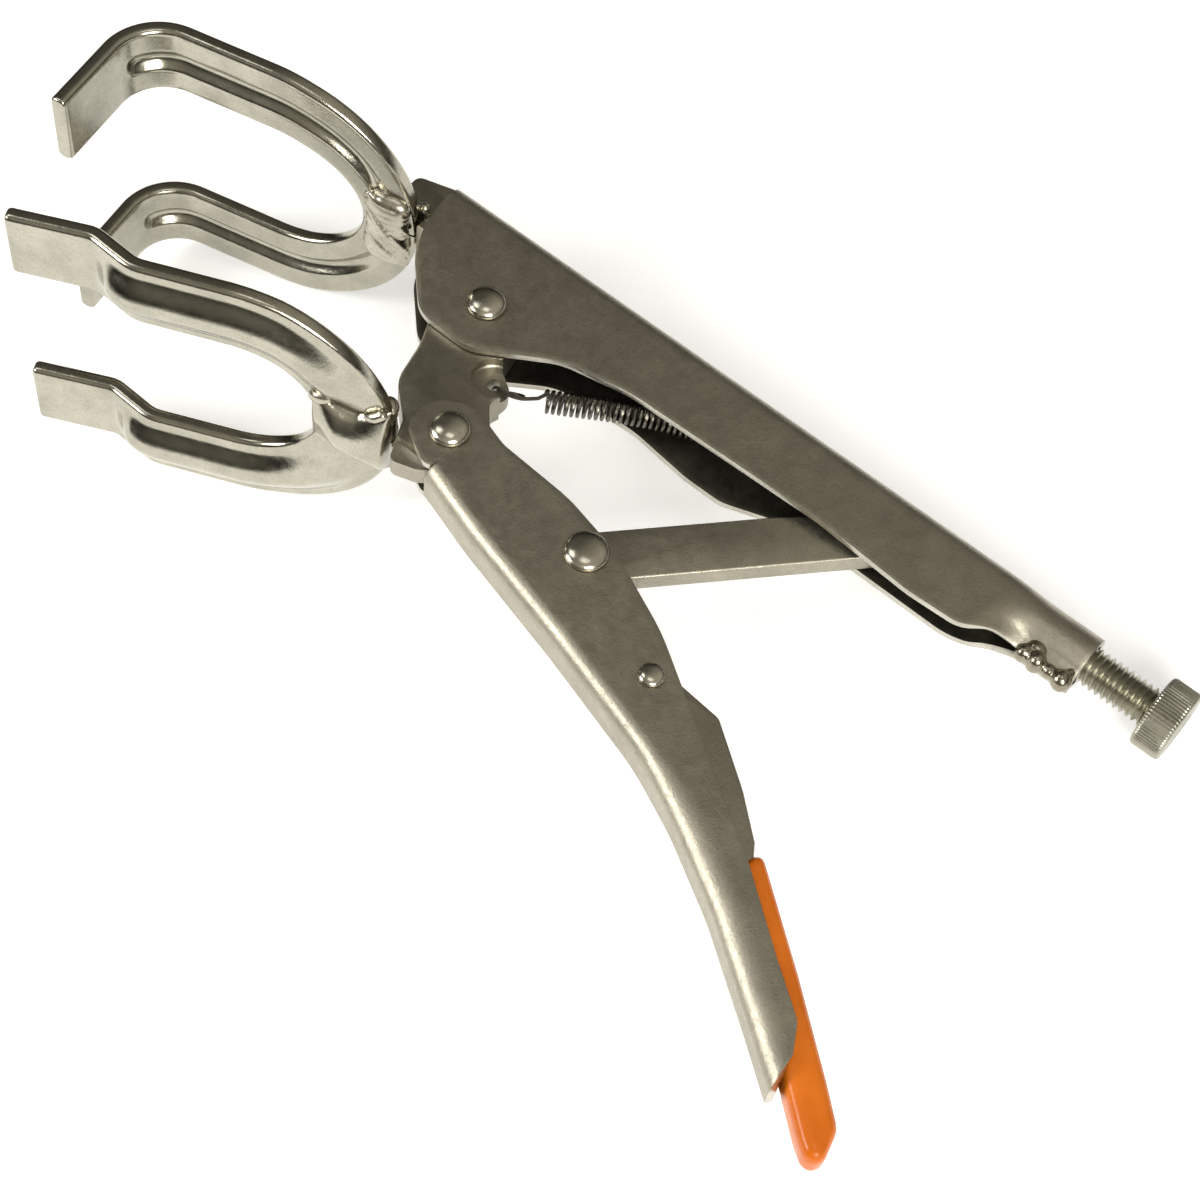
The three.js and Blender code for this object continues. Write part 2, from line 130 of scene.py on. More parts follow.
def fillets(points, closed, step=0.7):
    """The polyline through these points; a third number rounds that corner with this radius."""
    line = []
    count = len(points)
    for i, point in enumerate(points):
        here = Vector(point[:2])
        radius = point[2] if len(point) > 2 else 0
        if not radius or (not closed and i in (0, count - 1)):
            line.append(here)
            continue
        before = (Vector(points[i - 1][:2]) - here).normalized()
        after = (Vector(points[(i + 1) % count][:2]) - here).normalized()
        half = before.angle(after) / 2
        centre = here + (before + after).normalized() * radius / math.sin(half)
        start = here + before * radius / math.tan(half) - centre
        sweep = start.angle_signed(here + after * radius / math.tan(half) - centre)
        steps = max(2, math.ceil(abs(sweep) * radius / step))
        for k in range(steps + 1):
            turn = -sweep * k / steps
            spun = Vector((
                start.x * math.cos(turn) - start.y * math.sin(turn),
                start.x * math.sin(turn) + start.y * math.cos(turn),
            ))
            line.append(centre + spun)
    return line


def resample(line, count):
    """count points along a polyline, evenly spaced."""
    reach = [0.0]
    for a, b in zip(line, line[1:]):
        reach.append(reach[-1] + (b - a).length)
    out = []
    k = 0
    for i in range(count):
        want = reach[-1] * i / (count - 1)
        while k < len(line) - 2 and reach[k + 1] < want:
            k += 1
        span = reach[k + 1] - reach[k]
        share = (want - reach[k]) / span if span else 0
        out.append(line[k].lerp(line[k + 1], min(max(share, 0), 1)))
    return out


def smoothstep(x):
    x = min(max(x, 0.0), 1.0)
    return x * x * (3 - 2 * x)


def around(sides):
    """Evenly spaced angles, once round a circle."""
    return [2 * math.pi * k / sides for k in range(sides)]


# ---- mesh pieces ----


def finish_mesh(obj, body, material, cad_node, sharp=35, others=()):
    """Smooth shading with sharp corners, the materials, and the piece's place in the frame.

    others are the materials of a folded sheet's inner faces, darkened as painted shade, and of its cut
    edges, lightened as a painted highlight.
    """
    mesh = obj.data
    shells = [face.material_index for face in mesh.polygons]
    mesh.shade_smooth()
    mesh.set_sharp_from_angle(angle=math.radians(sharp))
    mesh.materials.clear()
    mesh.materials.append(material)
    for other in others:
        mesh.materials.append(other)
    if others:
        mesh.polygons.foreach_set("material_index", shells)
    if isinstance(body, tuple):
        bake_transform(obj)  # between two bodies: (first, second, start, end)
    else:
        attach(obj, body)
    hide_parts(cad_node)


def linked(name, data):
    """A new object in the scene that shows this mesh, light or camera."""
    obj = bpy.data.objects.new(name, data)
    bpy.context.scene.collection.objects.link(obj)
    return obj


def new_object(name, verts, faces):
    mesh = bpy.data.meshes.new(name)
    mesh.from_pydata([tuple(v) for v in verts], [], faces)
    mesh.validate()
    return linked(name, mesh)


@contextmanager
def edited(obj):
    """The object's mesh in editable form, written back at the end."""
    made = bmesh.new()
    made.from_mesh(obj.data)
    yield made
    made.to_mesh(obj.data)
    made.free()


def applied(obj):
    """The object with its modifiers applied."""
    bpy.context.view_layer.update()
    depsgraph = bpy.context.evaluated_depsgraph_get()
    mesh = bpy.data.meshes.new_from_object(obj.evaluated_get(depsgraph))
    name = obj.name
    bpy.data.objects.remove(obj)
    return linked(name, mesh)


def baked(obj):
    """The object with its modifiers applied, moved from tool millimetres to the row frame."""
    made = applied(obj)
    made.data.transform(TOOL)
    return made


def melted(obj, voxel, rounds):
    """Melt the object's shapes into one skin of this voxel size, softened this many times."""
    skin = obj.modifiers.new("skin", "REMESH")
    skin.mode = "VOXEL"
    skin.voxel_size = voxel
    soft = obj.modifiers.new("soft", "SMOOTH")
    soft.factor = 0.5
    soft.iterations = rounds


def ring_inset(line, inset):
    """A closed outline, running anticlockwise, moved inwards by this much."""
    moved = []
    count = len(line)
    for i, here in enumerate(line):
        before = (here - line[i - 1]).normalized()
        after = (line[(i + 1) % count] - here).normalized()
        inward = Vector((-before.y - after.y, before.x + after.x))
        inward.normalize()
        spread = max(0.5, inward.dot(Vector((-before.y, before.x))))
        moved.append(here + inward * inset / spread)
    return moved


def anticlockwise(line):
    area = sum(a.x * b.y - b.x * a.y for a, b in zip(line, line[1:] + line[:1]))
    return line if area > 0 else line[::-1]


def plate_mesh(name, points, half, rim, holes=()):
    """A flat plate with rounded rims, 2 * half thick, from an outline and round holes (x, y, radius)."""
    rim_steps = 3
    hole_sides = 28
    outline = anticlockwise(fillets(points, True))
    levels = []
    for k in range(rim_steps + 1):
        turn = math.pi / 2 * k / rim_steps
        levels.append((rim * (1 - math.sin(turn)), half - rim + rim * math.cos(turn)))
    levels += [(inset, -z) for inset, z in reversed(levels)]
    verts = []
    for inset, z in levels:
        verts += [Vector((p.x, p.y, z)) for p in ring_inset(outline, inset)]
    size = len(outline)
    faces = []
    for i in range(len(levels) - 1):
        for j in range(size):
            a, b = i * size + j, i * size + (j + 1) % size
            faces.append((a, a + size, b + size, b))
    last = (len(levels) - 1) * size
    rings = {half: [list(range(size))], -half: [list(range(last, last + size))]}
    for x, y, radius in holes:
        loops = []
        for z in (half, -half):
            start = len(verts)
            for turn in around(hole_sides):
                verts.append(Vector((x + radius * math.cos(turn), y + radius * math.sin(turn), z)))
            loops.append(list(range(start, start + hole_sides)))
            rings[z].append(loops[-1])
        for k in range(hole_sides):
            n = (k + 1) % hole_sides
            faces.append((loops[0][k], loops[0][n], loops[1][n], loops[1][k]))
    for loops in rings.values():
        flat = [[verts[k] for k in loop] for loop in loops]
        order = [k for loop in loops for k in loop]
        for triangle in tessellate_polygon(flat):
            faces.append(tuple(order[k] for k in triangle))
    return faced_out(new_object(name, verts, faces))


def faced_out(obj):
    """The closed mesh with every face turned outwards."""
    with edited(obj) as made:
        bmesh.ops.recalc_face_normals(made, faces=made.faces)
    return obj


def swept_loop(name, rows):
    """A closed skin over rows of equally long point loops, with a face at each end."""
    size = len(rows[0])
    verts = [p for row in rows for p in row]
    faces = []
    for i in range(len(rows) - 1):
        for j in range(size):
            a, b = i * size + j, i * size + (j + 1) % size
            faces.append((a, b, b + size, a + size))
    faces.append(tuple(reversed(range(size))))
    faces.append(tuple(range((len(rows) - 1) * size, len(rows) * size)))
    return new_object(name, verts, faces)


def turned(name, profile, place):
    """A lathe piece: (along, radius) pairs about a local Z axis, put in place by a matrix."""
    sides = 48
    rows = []
    for along, radius in profile:
        rows.append([Vector((radius * math.cos(t), radius * math.sin(t), along)) for t in around(sides)])
    obj = swept_loop(name, rows)
    obj.data.transform(place)
    return obj


# ---- the two channel handles ----


def channel(name, stations, web_from, web_below=False, far=None):
    """Sheet folded to a channel: each station is half a cross-section, from the web to the free edge.

    There is no web before station web_from. far holds the halves of the far wall, where it isn't the
    near wall's mirror image. Outer faces, inner faces and cut edges get material slots 0, 1 and 2.
    """
    size = len(stations[0])
    verts = []
    for half, other in zip(stations, far or stations):
        verts += [Vector((p.x, p.y, -p.z)) for p in reversed(other[1:])] + half
    row = 2 * size - 1
    faces = []
    for i in range(len(stations) - 1):
        for j in range(row - 1):
            from_edge = min(j, row - 2 - j)
            if from_edge >= WALL_STEPS and i < web_from:
                continue
            a = i * row + j
            face = (a, a + 1, a + 1 + row, a + row)
            faces.append(face[::-1] if web_below else face)
    obj = new_object(name, verts, faces)
    with edited(obj) as made:
        loose = [v for v in made.verts if not v.link_faces]
        bmesh.ops.delete(made, geom=loose, context="VERTS")
    fold = obj.modifiers.new("sheet", "SOLIDIFY")
    fold.thickness = SHEET
    fold.offset = -1
    fold.use_even_offset = True
    fold.material_offset = 1
    fold.material_offset_rim = 2
    for _ in range(3):
        obj.data.materials.append(None)
    rim = obj.modifiers.new("rim", "BEVEL")
    rim.width = 0.35
    rim.segments = 2
    rim.limit_method = "ANGLE"
    rim.angle_limit = math.radians(40)
    return obj


def half_section(corner, outward, edge, radius, depth=None, crease=0):
    """Half a channel's cross-section: across the web, round its corner, and down the wall.

    The corner is a quarter ellipse, radius wide and depth deep; it leaves the web at the crease's angle.
    """
    depth = depth or radius
    first = math.radians(crease)
    points = []
    for k in range(WEB_STEPS):
        points.append((0.0, (CHANNEL_HALF - radius) * k / WEB_STEPS))
    for k in range(ARC_STEPS + 1):
        turn = first + (math.pi / 2 - first) * k / ARC_STEPS
        drop = 1 - math.cos(turn) / math.cos(first)
        wide = (math.sin(turn) - math.sin(first)) / (1 - math.sin(first))
        points.append((drop, CHANNEL_HALF - radius + radius * wide))
    made = []
    for drop, z in points:
        at = corner + outward * depth * (1 - drop)
        made.append(Vector((at.x, at.y, z)))
    for k in range(1, WALL_STEPS + 1):
        at = corner.lerp(edge, k / WALL_STEPS)
        made.append(Vector((at.x, at.y, CHANNEL_HALF)))
    return made


def fixed_wall(edge):
    """One half of the fixed handle's cross-sections, down to this edge of its opening."""
    count = 150
    front = [(-27.9, 18.8), (-26.8, 10, 30), (-22, 0, 14), (-10, -12.2, 9), (5, -12.4, 12)]
    tail = [(146, KEEL_Y), (TAIL_END, KEEL_Y)]
    stations = []
    for low in resample(fillets(front + edge + tail, False), count):
        corner = Vector((low.x, CHANNEL_TOP - TOP_CORNER))
        half = half_section(corner, Vector((0, 1)), low, TOP_CORNER)
        curl = smoothstep((low.x - CURL_START) / CURL_LENGTH)
        if curl > 0:
            half = curled(half, curl)
        stations.append(half)
    return stations


def fixed_handle(material, others):
    """The fixed handle's channel; its far wall's edge runs differently from the near one's."""
    near = fixed_wall([
        (23, -0.6, 16), (40, 3, 30), (92, 4.4, 60), (118, 2.6, 30), (131, 3.2, 8),
        (137.5, 7.4, 8),
    ])
    far = fixed_wall([
        (22, -0.4, 16), (42, 2.4, 30), (60, 0.2, 20), (70, 0.2, 10), (82, 4.6, 16),
        (101, 6.6, 40), (129, 6.2, 20), (137.5, 9.4, 8),
    ])
    obj = baked(channel("fixed_handle_fine", near, 0, far=far))
    finish_mesh(obj, "fixed_frame", material, "fixed_handle", others=others)


def curled(half, share):
    """The cross-section rolled towards a drop shape: a tube round the screw, closing to a keel below."""
    reach = [0.0]
    for a, b in zip(half, half[1:]):
        reach.append(reach[-1] + (b - a).length)
    leave = math.radians(TUBE_WRAP)
    round_part = TUBE_RADIUS * leave
    left = Vector((SCREW_Y + TUBE_RADIUS * math.cos(leave), TUBE_RADIUS * math.sin(leave)))
    keel = Vector((KEEL_Y, KEEL_HALF))
    whole = round_part + (keel - left).length
    rolled = []
    for p, along in zip(half, reach):
        there = whole * along / reach[-1]
        if there <= round_part:
            turn = there / TUBE_RADIUS
            y, z = SCREW_Y + TUBE_RADIUS * math.cos(turn), TUBE_RADIUS * math.sin(turn)
        else:
            y, z = left.lerp(keel, (there - round_part) / (whole - round_part))
        rolled.append(p.lerp(Vector((p.x, y, z)), share))
    return rolled


def lower_handle(material, others):
    """The moving handle's channel: first its two open ears, then the part that has a web."""
    ear_count, handle_count = 24, 160
    ear_top = fillets([(8.1, -34.2), (8.6, -27.4, 6), (15.5, -23.2, 6), (24, -26)], False)
    ear_low = fillets([(8.1, -35.2), (9.4, -38.2, 3), (18.2, -43.2, 3), (19.6, -42.4)], False)
    opening = fillets([
        (24, -26), (28, -27.3, 12), (48, -28.6, 40), (64, -32.4, 40), (84, -41.6, 60),
        (104, -54.8, 60), (130, -71.8, 80), (148, -85.6, 60), (158.6, -93.2, 3),
        (162, -99.4),
    ], False)
    web = fillets([
        (19.6, -44.2), (36, -49.6, 80), (67, -57.8, 120), (98, -67, 80),
        (113, -74, 80), (130.8, -84.4, 80), (152, -99.4, 60), (162.6, -107.2),
    ], False)
    shallow, deepening, deepening_from, deepening_length = 3.6, 3.0, 96, 24
    stations = []
    for high, low in zip(resample(ear_top, ear_count), resample(ear_low, ear_count)):
        stations.append(half_section(low, Vector((0, -1)), high, WEB_CORNER, WEB_CORNER, WEB_CREASE))
    for outer, high in zip(resample(web, handle_count), resample(opening, handle_count)):
        outward = (outer - high).normalized()
        depth = shallow + deepening * smoothstep((outer.x - deepening_from) / deepening_length)
        corner = outer - outward * depth
        stations.append(half_section(corner, outward, high, WEB_CORNER, depth, WEB_CREASE))
    obj = baked(channel("lower_handle_fine", stations, ear_count, web_below=True))
    finish_mesh(obj, "moving_handle", material, "lower_handle", others=others)


# ---- forks ----


class Fork:
    """Sheet bent to a side profile and cut to a U: two straight prongs joined by a bow, with a bead.

    The profile runs from the tip, and centre is the x where the bow begins. bow is (how far its middle
    line reaches, further reach for each millimetre across). bead is (distance from the tip where it
    starts, degrees round the bow where it ends, height, the face it stands on).
    """

    def __init__(self, profile, centre, bow, bead):
        line = resample(fillets(profile, False, 0.3), 400)
        self.points = line
        self.centre = centre
        self.bow = bow
        self.bead = bead
        self.bend = max(i for i, p in enumerate(line) if p.x < centre)
        self.spacing = (line[1] - line[0]).length

    def normal(self, i):
        """The profile's normal at a point, to the left of its run, evened out over its neighbours."""
        a = self.points[max(i - 3, 0)]
        b = self.points[min(i + 3, len(self.points) - 1)]
        way = (b - a).normalized()
        return Vector((-way.y, way.x))

    def at_x(self, x):
        """The point and normal where the profile, past the bend, reaches this x."""
        last = len(self.points) - 2
        i = next((k for k in range(self.bend, last) if self.points[k + 1].x >= x), last)
        p, q = self.points[i], self.points[i + 1]
        return p.lerp(q, (x - p.x) / (q.x - p.x)), self.normal(i)

    def round_bow(self, across, turn):
        """The point, normal and Z of a line this far across, this far round its quarter of the bow."""
        reach = self.bow[0] + self.bow[1] * across
        at, normal = self.at_x(self.centre + reach * math.sin(turn))
        return at, normal, across * math.cos(turn)


UPPER_FORK = Fork(
    profile=[(-92.7, -40.6), (-98.5, -8.5, 13), (-56, 1.9, 40), (-26, 10.8)],
    centre=-65.2,
    bow=(9.8, 0.716),
    bead=(20.7, 86, 2.4, 1),
)
LOWER_FORK = Fork(
    profile=[(-77.9, -70.2), (-60.5, -61.4, 5), (-48.5, -61.8, 8), (-18.5, -48, 40), (7, -38.1)],
    centre=-30,
    bow=(3, 0.9),
    bead=(21, 80, 3.4, -1),
)


def prong_section():
    """The sheet's cross-section: (distance across, height) all the way round."""
    corner = RIM_RADIUS
    corner_steps, face_steps = 5, 32
    wide, high = PRONG_WIDTH / 2, PRONG_THICKNESS / 2
    loop = []
    for sx, sy, first in ((1, 1, 0), (-1, 1, 90), (-1, -1, 180), (1, -1, 270)):
        for k in range(corner_steps + 1):
            turn = math.radians(first + 90 * k / corner_steps)
            x = sx * (wide - corner) + corner * math.cos(turn)
            loop.append((x, sy * (high - corner) + corner * math.sin(turn)))
        if first in (0, 180):
            for k in range(1, face_steps):
                x = sx * (wide - corner) * (1 - 2 * k / face_steps)
                loop.append((x, sy * high))
    return loop


def bead_lift(fork, across, height, along, stop):
    """How far the pressed bead moves a point of the sheet: a wide ridge, a narrow trough behind it."""
    start, _, rise, face = fork.bead
    fade_out = 16
    if height * face > 0:
        half, most = BEAD_HALF, rise
        share = smoothstep((along - start) / 8) * smoothstep((stop - along) / fade_out)
    else:
        half, most = GROOVE_HALF, GROOVE_DEPTH
        share = smoothstep((along - start - 2) / 4) * smoothstep((stop - 4 - along) / fade_out)
    shape = math.cos(math.pi / 2 * min(abs(across) / half, 1)) ** 1.3
    return face * most * share * shape


def prong(name, fork, side, body, material):
    """One prong: the straight leg, then a quarter of the bow."""
    section = prong_section()
    middle = FORK_HALF - PRONG_WIDTH / 2
    leg = fork.bend * fork.spacing
    bead_stop = leg + math.radians(fork.bead[1]) * middle
    rows = []

    def row(place, along):
        short = max(0.0, 1 - along / TIP_ROUND)
        inset = TIP_ROUND * (1 - math.sqrt(1 - short * short))
        made = []
        for across, height in section:
            a = middle + across * (1 - inset / (PRONG_WIDTH / 2))
            lift = height * (1 - inset / (PRONG_THICKNESS / 2))
            lift += bead_lift(fork, across, height, along, bead_stop)
            at, normal, z = place(a)
            spot = at + normal * lift
            made.append(Vector((spot.x, spot.y, side * z)))
        rows.append(made if side > 0 else made[::-1])

    near_tip = [0.0, 0.1, 0.3, 0.6]
    steps = round(leg - 1.0)
    for along in near_tip + [1.0 + (leg - 1.0) * k / steps for k in range(steps + 1)]:
        i = min(round(along / fork.spacing), fork.bend)
        row(lambda a: (fork.points[i], fork.normal(i), a), along)
    turns = 48
    for k in range(1, turns + 1):
        turn = math.radians(BOW_END) * k / turns
        row(lambda a: fork.round_bow(a, turn), leg + turn * middle)
    obj = faced_out(swept_loop(name + "_fine", rows))
    finish_mesh(baked(obj), body, material, name, sharp=50)


# ---- welds and the neck's cover ----


def weld(name, lumps, body, material, cad_node, grain=0.25):
    """A weld bead: rounded lumps (x, y, z, radius x, y, z) melted together, its skin wavy by grain."""
    waves_per_mm = 0.35
    made = bmesh.new()
    for x, y, z, rx, ry, rz in lumps:
        place = Matrix.Translation((x, y, z)) @ Matrix.Diagonal((rx, ry, rz, 1))
        bmesh.ops.create_icosphere(made, subdivisions=3, radius=1, matrix=place)
    mesh = bpy.data.meshes.new(name)
    made.to_mesh(mesh)
    made.free()
    obj = linked(name, mesh)
    melted(obj, 0.35, 3)
    obj = applied(obj)
    for v in obj.data.vertices:
        v.co += v.normal * grain * noise.noise(v.co * waves_per_mm)
    finish_mesh(baked(obj), body, material, cad_node, sharp=180)


def lumps_between(start, end, count, radii, swell=0.12):
    """Evenly spaced weld lumps from one point to another, a little uneven in size."""
    made = []
    for i in range(count):
        at = Vector(start).lerp(Vector(end), i / (count - 1))
        grown = 1 + swell * math.sin(2.4 * i)
        made.append((*at, *(r * grown for r in radii)))
    return made


def lower_neck_plate(material):
    """The domed cover under the lower bow, waisted on its near side."""
    first_x, last_x = -11.6, 5.8
    waist_x = -1.5
    dome, lip = 5.0, 0.9
    steps, across_steps = 40, 56
    top = -(PRONG_THICKNESS / 2 + 0.1)
    rows = []
    for i in range(steps + 1):
        share = i / steps
        x = first_x + (last_x - first_x) * share
        at, normal = LOWER_FORK.at_x(x)
        far = -4.3 - 5.2 * share
        near = 7.7 + 0.032 * (x - waist_x) ** 2 + 0.35 * max(0.0, x - waist_x)
        crest = 0.56 - 0.24 * share
        ends = (0.35 + 0.65 * smoothstep(share / 0.4)) * round_edge(share / 0.06)
        ends *= round_edge((1 - share) / 0.08)
        outer = []
        inner = []
        for k in range(across_steps + 1):
            place = k / across_steps
            z = far + (near - far) * place
            edges = round_edge((z - far) / 0.9) * round_edge((near - z) / 1.6)
            slope = abs(place - crest) / (crest if place < crest else 1 - crest)
            rise = lip + (dome - lip) * math.cos(math.pi / 2 * slope)
            spot = at + normal * (top - 0.05 - rise * edges * ends)
            outer.append(Vector((spot.x, spot.y, z)))
            base = at + normal * top
            inner.append(Vector((base.x, base.y, z)))
        rows.append(outer + inner[::-1])
    obj = faced_out(swept_loop("lower_neck_plate_fine", rows))
    finish_mesh(baked(obj), "moving_jaw", material, "lower_neck_plate", sharp=70)


def round_edge(x):
    """A quarter circle's rise: 0 at the edge, 1 from x = 1 inwards."""
    x = min(max(x, 0.0), 1.0)
    return math.sqrt(1 - (1 - x) ** 2)


def slanting_ridge(fork, start, end, depth, radii, taper=0.0):
    """Lumps for one ripple of weld on the underside of a bow, from (x, z) to (x, z).

    depth is measured from the sheet's middle, and taper thins both ends.
    """
    made = []
    steps = 12
    for i in range(steps + 1):
        share = i / steps
        at, normal = fork.at_x(start[0] + (end[0] - start[0]) * share)
        spot = at - normal * (depth + 0.3 * math.sin(math.pi * share))
        size = 1 - taper * (1 - math.sin(math.pi * share))
        z = start[1] + (end[1] - start[1]) * share
        made.append((spot.x, spot.y, z, *(r * size for r in radii)))
    return made


def upper_root_weld(material):
    across = lumps_between((-39, 9.6, -4.4), (-39, 9.6, 4.4), 5, (2.0, 1.9, 1.6))
    beside = lumps_between((-38.6, 9.6, 4.4), (-29.6, 12.4, 6.0), 6, (1.7, 1.5, 1.4), 0.3)
    weld("upper_root_weld_fine", across + beside, "fixed_frame", material, "upper_root_weld")


def upper_bow_weld(material):
    """A blob under the tang's end, with four ripples slanting away over it."""
    blob = []
    for z in range(-8, 9, 2):
        radii = (3.9 + 0.012 * z * z, 3.1, 3.6)
        blob += slanting_ridge(UPPER_FORK, (-38.2, z), (-34.6, z), 1.5, radii)
    ripples = []
    for z, fall, size in ((11.0, 9.0, 0.8), (7.0, 11.6, 1.1), (2.6, 10.4, 0.85), (-1.6, 7.8, 1.0)):
        radii = (1.9 * size, 1.9 * size, 1.8 * size)
        ripples += slanting_ridge(UPPER_FORK, (-40.2, z), (-31.0, z - fall), 3.1, radii, taper=0.45)
    weld("upper_bow_weld_fine", blob + ripples, "fixed_frame", material, "upper_bow_weld", 0.12)


def lower_root_weld(material):
    lumps = lumps_between((3.2, -37.4, -8), (3.2, -37.4, 8), 7, (2.3, 2.1, 1.8))
    weld("lower_root_weld_fine", lumps, "moving_jaw", material, "lower_root_weld")


def lower_neck_tacks(material):
    """Two small lumps that hold the neck's cover on its near side."""
    front = slanting_ridge(LOWER_FORK, (-10.8, 9.4), (-8.6, 10.4), 2.4, (1.8, 1.2, 1.5))
    rear = slanting_ridge(LOWER_FORK, (1.2, 8.6), (4.0, 10.6), 2.6, (1.5, 1.3, 1.2))
    weld("lower_neck_tack", front, "moving_jaw", material, "lower_neck_plate")
    weld("lower_neck_tack_rear", rear, "moving_jaw", material, "lower_neck_plate")


def tail_weld(material):
    """The weld along the keel's seam, with two lumps beside it on the handle's wall."""
    keel = lumps_between((145.4, KEEL_Y + 0.2, 1.7), (155.4, KEEL_Y - 0.1, 1.8), 4, (2.1, 2.2, 2.5), 0.22)
    wall = [(147.2, 12.0, 2.8, 2.4, 1.9, 1.7), (156, 11.6, 2.6, 1.2, 1.5, 1.3)]
    weld("tail_weld_fine", keel + wall, "fixed_frame", material, "tail_weld", 0.15)


# ---- rivets, the screw and the spring ----


def rivet(name, at, shank, head, height, body, material):
    """A rivet through both walls, with a domed head at each end."""
    edge = 0.25
    steps = 10
    dome = []
    for i in range(steps + 1):
        turn = math.pi / 2 * i / steps
        dome.append((RIVET_SEAT + edge + (height - edge) * math.cos(turn), head * math.sin(turn)))
    seat = [(RIVET_SEAT, shank), (RIVET_SEAT, head - edge)]
    upper = seat + dome[:0:-1] + [(dome[0][0], NEAR_AXIS)]
    profile = [(-along, radius) for along, radius in reversed(upper)] + upper
    obj = faced_out(turned(name + "_fine", profile, Matrix.Translation((*at, 0))))
    finish_mesh(baked(obj), body, material, name, sharp=50)


def along_screw(x):
    """A lathe piece's own Z axis laid along the adjusting screw, starting at x."""
    return Matrix.Translation((x, SCREW_Y, 0)) @ Matrix.Rotation(math.pi / 2, 4, "Y")


def screw_thread(material):
    """The threaded rod: a helix of crests and roots, cut square at both ends."""
    samples = 10
    sides = 40
    depth = 0.95
    start, end = SCREW_TIP, HEAD_START + 0.5
    turns = math.ceil((end - start) / PITCH) + 3
    radii = []
    for k in range(samples):
        wave = abs(2 * k / samples - 1)
        flank = min(max(1.25 * wave - 0.1, 0), 1)
        radii.append(SCREW_RADIUS - depth * flank)
    verts = []
    for i in range(turns * samples):
        for j in range(sides):
            along = start + (i / samples + j / sides - 1.5) * PITCH
            turn = 2 * math.pi * j / sides
            radius = radii[i % samples]
            verts.append((along, SCREW_Y + radius * math.cos(turn), radius * math.sin(turn)))
    faces = []
    for i in range((turns - 1) * samples - 1):
        for j in range(sides):
            a, b = i * sides + j, i * sides + j + 1
            if j == sides - 1:
                b = (i + samples) * sides
            faces.append((a, b, b + sides, a + sides))
    obj = new_object("screw_thread", verts, faces)
    with edited(obj) as made:
        for x, away in ((start, -1), (end, 1)):
            geometry = made.verts[:] + made.edges[:] + made.faces[:]
            bmesh.ops.bisect_plane(
                made, geom=geometry, plane_co=(x, 0, 0), plane_no=(away, 0, 0), clear_outer=True
            )
            boundary = [e for e in made.edges if e.is_boundary]
            rim = [e for e in boundary if all(abs(v.co.x - x) < 1e-4 for v in e.verts)]
            bmesh.ops.edgeloop_fill(made, edges=rim)
    finish_mesh(baked(faced_out(obj)), "screw", material, "adjusting_screw", sharp=40)


def knurled_head(material):
    """The screw's head: straight ridges round a drum with rounded edges."""
    ridges = 63
    ridge_depth = 0.22
    sides = ridges * 6
    rounding = 1.1
    rounding_steps = 5
    near_rim = []
    for k in reversed(range(rounding_steps + 1)):
        turn = math.pi / 2 * k / rounding_steps
        near_rim.append((rounding * (1 - math.sin(turn)), HEAD_RADIUS - rounding * (1 - math.cos(turn))))
    far_rim = [(HEAD_LENGTH - along, radius) for along, radius in reversed(near_rim)]
    near_face = [(0.35, 3.0), (0.25, 5.6)]
    far_face = [(HEAD_LENGTH - 0.02, 5.4), (HEAD_LENGTH - 0.3, 3.0)]
    rows = []
    for along, radius in near_face + near_rim + far_rim + far_face:
        grip = smoothstep((radius - HEAD_RADIUS + rounding) / (0.8 * rounding))
        loop = []
        for turn in around(sides):
            wave = 0.5 - 0.5 * math.cos(ridges * turn)
            r = radius - grip * ridge_depth * (1 - wave) ** 1.5
            loop.append(Vector((r * math.cos(turn), r * math.sin(turn), along)))
        rows.append(loop)
    obj = swept_loop("knurled_head", rows)
    obj.data.transform(along_screw(HEAD_START))
    finish_mesh(baked(faced_out(obj)), "screw", material, "adjusting_screw", sharp=50)


def screw_nose(material):
    """The screw's smooth point, which pushes on the toggle link."""
    profile = [(0, NEAR_AXIS), (0, 2.2), (0.2, 2.8), (0.7, 3.4), (1.5, 3.4), (1.7, 3.2), (1.7, NEAR_AXIS)]
    obj = faced_out(turned("screw_nose_fine", profile, along_screw(SCREW_TIP - 2)))
    finish_mesh(baked(obj), "screw_tip", material, "screw_nose")


def smooth_path(points, step):
    """A Catmull-Rom curve through the points, as closely spaced vectors."""
    points = [Vector(p) for p in points]
    padded = [2 * points[0] - points[1]] + points + [2 * points[-1] - points[-2]]
    path = []
    for a, b, c, d in zip(padded, padded[1:], padded[2:], padded[3:]):
        count = max(2, math.ceil((c - b).length / step))
        for k in range(count):
            t = k / count
            linear = (c - a) * t
            square = (2 * a - 5 * b + 4 * c - d) * t * t
            cubic = (3 * b - a - 3 * c + d) * t ** 3
            path.append(0.5 * (2 * b + linear + square + cubic))
    path.append(points[-1])
    return path


def wire(name, path, radius):
    """A round wire along a path, its cross-section carried along without twist."""
    sides = 8
    rows = []
    way = (path[1] - path[0]).normalized()
    across = way.orthogonal().normalized()
    for i, at in enumerate(path):
        new_way = (path[min(i + 1, len(path) - 1)] - path[max(i - 1, 0)]).normalized()
        across = way.rotation_difference(new_way) @ across
        across = (across - new_way * across.dot(new_way)).normalized()
        way = new_way
        up = way.cross(across)
        rows.append([at + (across * math.cos(t) + up * math.sin(t)) * radius for t in around(sides)])
    return faced_out(swept_loop(name, rows))


